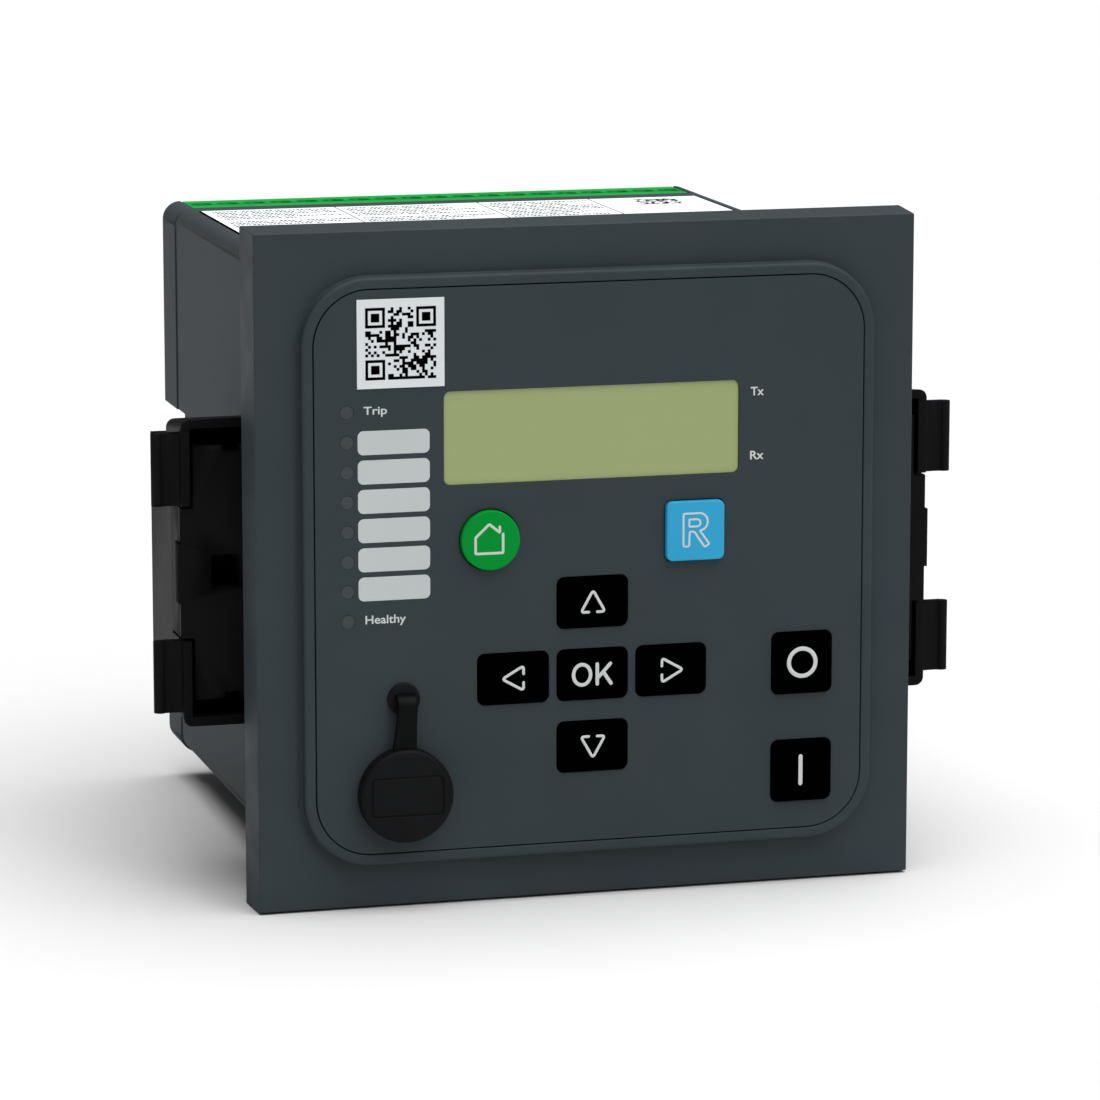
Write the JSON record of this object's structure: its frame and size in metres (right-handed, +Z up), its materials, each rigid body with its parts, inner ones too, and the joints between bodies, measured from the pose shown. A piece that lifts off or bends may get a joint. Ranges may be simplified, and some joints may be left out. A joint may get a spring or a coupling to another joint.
{
  "type": "protection relay",
  "caption": "Panel-mounted protection relay: square bezel with display, keypad and status lights, box case with rear terminals and sliding side clips.",
  "frame": {"origin": "middle of the bezel's rear face, which lies on the front of the panel", "axes": "+X to the right seen from the front, +Y into the panel towards the terminals, +Z up"},
  "size_m": [0.1886, 0.1576, 0.153],
  "materials": {
    "bezel_plastic": "fine matt grain",
    "plate_film": "matt film",
    "display_window": "gloss",
    "display_glass": "gloss",
    "black_frame": "satin",
    "light_guide": "gloss",
    "led_body": "gloss",
    "card_grey": "matt paper",
    "label_white": "matt paper",
    "silicone_grey": "matt",
    "board_green": "satin lacquer",
    "plated_steel": "zinc plated",
    "cap_rubber": "matt",
    "case_plastic": "fine matt grain",
    "clip_plastic": "matt",
    "terminal_green": "satin",
    "cage_brass": "plain",
    "terminal_black": "satin",
    "relay_blue": "satin",
    "winding_copper": "taped winding",
    "capacitor_sleeve": "shrink sleeve",
    "link_white": "plain",
    "key_green": "satin",
    "key_blue": "satin",
    "key_black": "satin"
  },
  "bodies": {
    "relay_body": {"front_bezel": "bezel_plastic", "front_plate": "plate_film", "display_window": "display_window", "display_glass": "display_glass", "display_frame": "black_frame", "light_guides": "light_guide", "status_leds": "led_body", "write_on_cards": "card_grey", "square_label": "label_white", "rating_label": "label_white", "keypad_mat": "silicone_grey", "front_board": "board_green", "front_board_screws": "plated_steel", "service_socket": "plated_steel", "cap_anchor": "cap_rubber", "case_shell": "case_plastic", "case_screws": "plated_steel", "rear_cover": "case_plastic", "cover_screws": "plated_steel", "upper_terminal": "terminal_green", "upper_terminal_screws": "plated_steel", "upper_terminal_cages": "cage_brass", "lower_terminal": "terminal_black", "lower_terminal_screws": "plated_steel", "earth_screw": "plated_steel", "output_board": "board_green", "output_relays": "relay_blue", "supply_board": "board_green", "current_transformers": "terminal_black", "supply_transformer": "winding_copper", "supply_capacitors": "capacitor_sleeve", "board_links": "link_white"},
    "home_key": {"home_key": "key_green"},
    "reset_key": {"reset_key": "key_blue"},
    "up_key": {"up_key": "key_black"},
    "down_key": {"down_key": "key_black"},
    "left_key": {"left_key": "key_black"},
    "right_key": {"right_key": "key_black"},
    "ok_key": {"ok_key": "key_black"},
    "open_key": {"open_key": "key_black"},
    "close_key": {"close_key": "key_black"},
    "service_cap": {"service_cap": "cap_rubber"},
    "left_clip": {"left_clip": "clip_plastic"},
    "right_clip": {"right_clip": "clip_plastic"}
  },
  "joints": [
    {"name": "home_key_press", "type": "slide", "parent": "relay_body", "child": "home_key", "axis": [0, 1, 0], "range_m": [0, 0.0006], "stiffness_N_per_m": 1500},
    {"name": "reset_key_press", "type": "slide", "parent": "relay_body", "child": "reset_key", "axis": [0, 1, 0], "range_m": [0, 0.0006], "stiffness_N_per_m": 1500},
    {"name": "up_key_press", "type": "slide", "parent": "relay_body", "child": "up_key", "axis": [0, 1, 0], "range_m": [0, 0.0006], "stiffness_N_per_m": 1500},
    {"name": "down_key_press", "type": "slide", "parent": "relay_body", "child": "down_key", "axis": [0, 1, 0], "range_m": [0, 0.0006], "stiffness_N_per_m": 1500},
    {"name": "left_key_press", "type": "slide", "parent": "relay_body", "child": "left_key", "axis": [0, 1, 0], "range_m": [0, 0.0006], "stiffness_N_per_m": 1500},
    {"name": "right_key_press", "type": "slide", "parent": "relay_body", "child": "right_key", "axis": [0, 1, 0], "range_m": [0, 0.0006], "stiffness_N_per_m": 1500},
    {"name": "ok_key_press", "type": "slide", "parent": "relay_body", "child": "ok_key", "axis": [0, 1, 0], "range_m": [0, 0.0006], "stiffness_N_per_m": 1500},
    {"name": "open_key_press", "type": "slide", "parent": "relay_body", "child": "open_key", "axis": [0, 1, 0], "range_m": [0, 0.0006], "stiffness_N_per_m": 1500},
    {"name": "close_key_press", "type": "slide", "parent": "relay_body", "child": "close_key", "axis": [0, 1, 0], "range_m": [0, 0.0006], "stiffness_N_per_m": 1500},
    {"name": "service_cap_swing", "type": "hinge", "parent": "relay_body", "child": "service_cap", "pos_m": [-0.0436, -0.0179, -0.0307], "axis": [-1, 0, 0], "range_deg": [0, 100], "stiffness_Nm_per_rad": 0.003},
    {"name": "left_clip_slide", "type": "slide", "parent": "relay_body", "child": "left_clip", "axis": [0, 1, 0], "range_m": [-0.0085, 0.05]},
    {"name": "right_clip_slide", "type": "slide", "parent": "relay_body", "child": "right_clip", "axis": [0, 1, 0], "range_m": [-0.0085, 0.05]}
  ]
}
